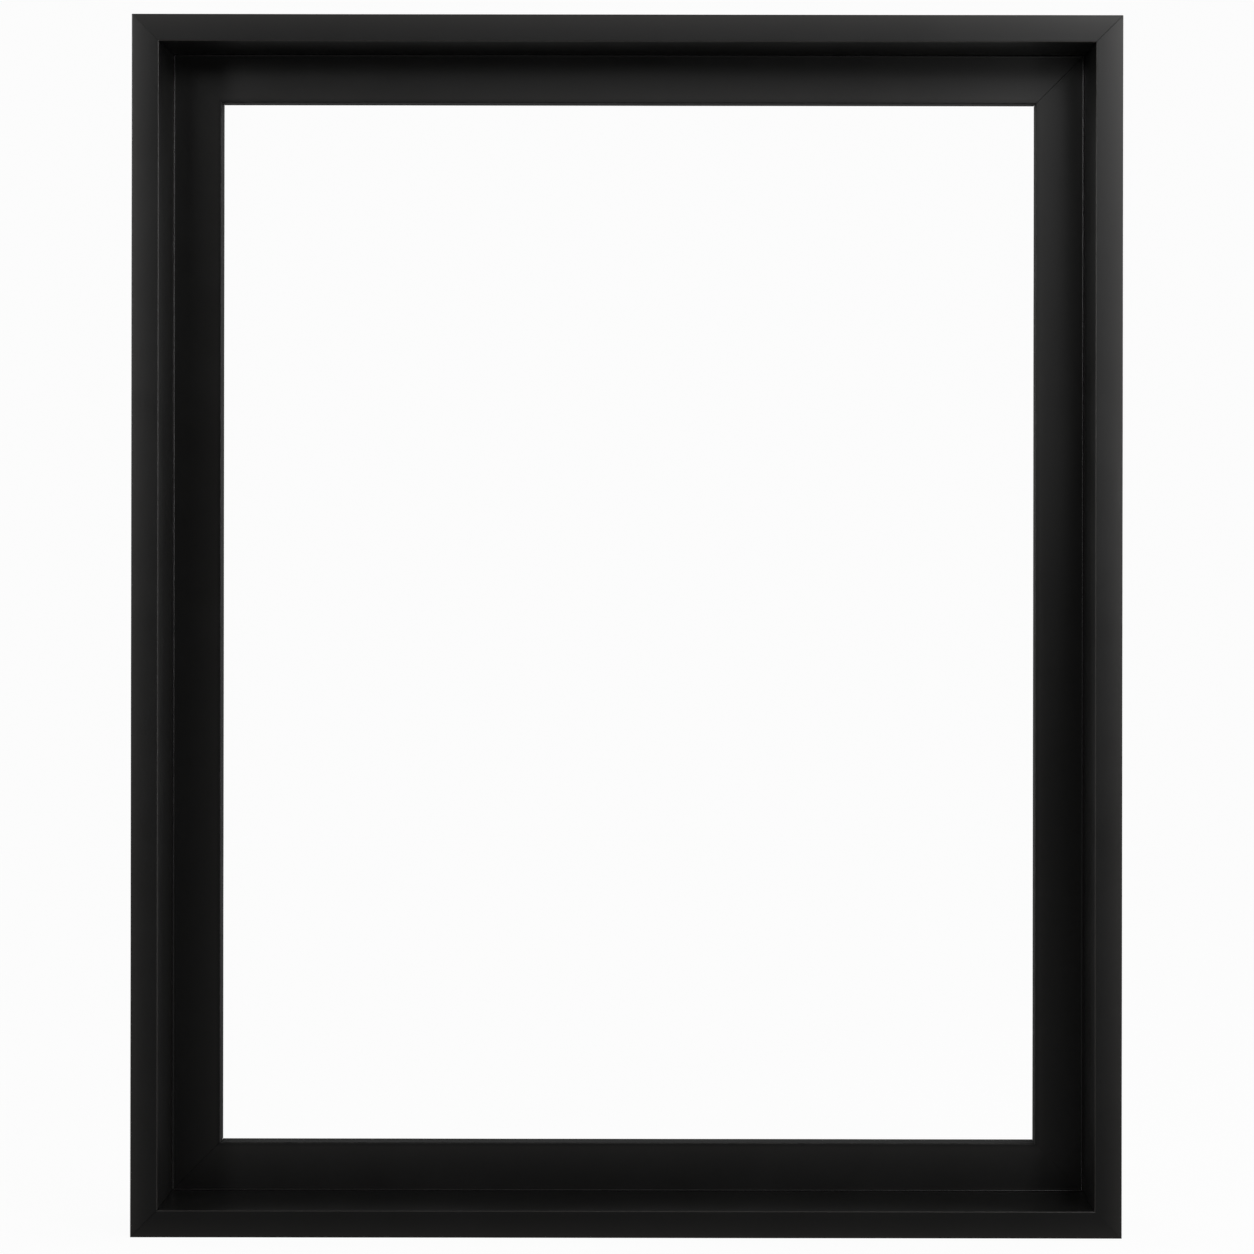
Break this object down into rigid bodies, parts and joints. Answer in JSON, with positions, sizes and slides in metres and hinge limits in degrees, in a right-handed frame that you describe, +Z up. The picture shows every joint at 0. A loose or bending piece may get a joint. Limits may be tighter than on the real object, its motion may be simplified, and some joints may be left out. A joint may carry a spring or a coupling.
{
  "type": "canvas floater frame",
  "caption": "Black floater frame for a stretched canvas: mitred L-section wood rails with a narrow lip, a deep plain wall and a rear ledge, hung from swinging D-rings.",
  "frame": {"origin": "centre of the flat bottom edge, half-way through the frame's depth", "axes": "+Z up, +X to the right of someone facing the front, front face towards -Y"},
  "size_m": [0.4344, 0.0524, 0.536],
  "materials": {
    "black_wood": "satin black lacquer",
    "nail_steel": "bright strip",
    "plated_steel": "zinc plated",
    "bumper_rubber": "clear, satin"
  },
  "bodies": {
    "frame": {"rail_top": "black_wood", "rail_bottom": "black_wood", "rail_left": "black_wood", "rail_right": "black_wood", "v_nail_wall_bottom_left": "nail_steel", "v_nail_wall_bottom_right": "nail_steel", "v_nail_wall_top_left": "nail_steel", "v_nail_wall_top_right": "nail_steel", "v_nail_deep_bottom_left": "nail_steel", "v_nail_deep_bottom_right": "nail_steel", "v_nail_deep_top_left": "nail_steel", "v_nail_deep_top_right": "nail_steel", "v_nail_ledge_bottom_left": "nail_steel", "v_nail_ledge_bottom_right": "nail_steel", "v_nail_ledge_top_left": "nail_steel", "v_nail_ledge_top_right": "nail_steel", "hanger_strap_left": "plated_steel", "hanger_screw_left": "plated_steel", "bumper_left": "bumper_rubber", "hanger_strap_right": "plated_steel", "hanger_screw_right": "plated_steel", "bumper_right": "bumper_rubber"},
    "ring_left": {"hanger_ring_left": "plated_steel"},
    "ring_right": {"hanger_ring_right": "plated_steel"}
  },
  "joints": [
    {"name": "ring_left_swing", "type": "hinge", "parent": "frame", "child": "ring_left", "pos_m": [-0.2082, 0.02596, 0.386], "axis": [1, 0, 0], "range_deg": [0, 176]},
    {"name": "ring_right_swing", "type": "hinge", "parent": "frame", "child": "ring_right", "pos_m": [0.2082, 0.02596, 0.386], "axis": [1, 0, 0], "range_deg": [0, 176]}
  ]
}
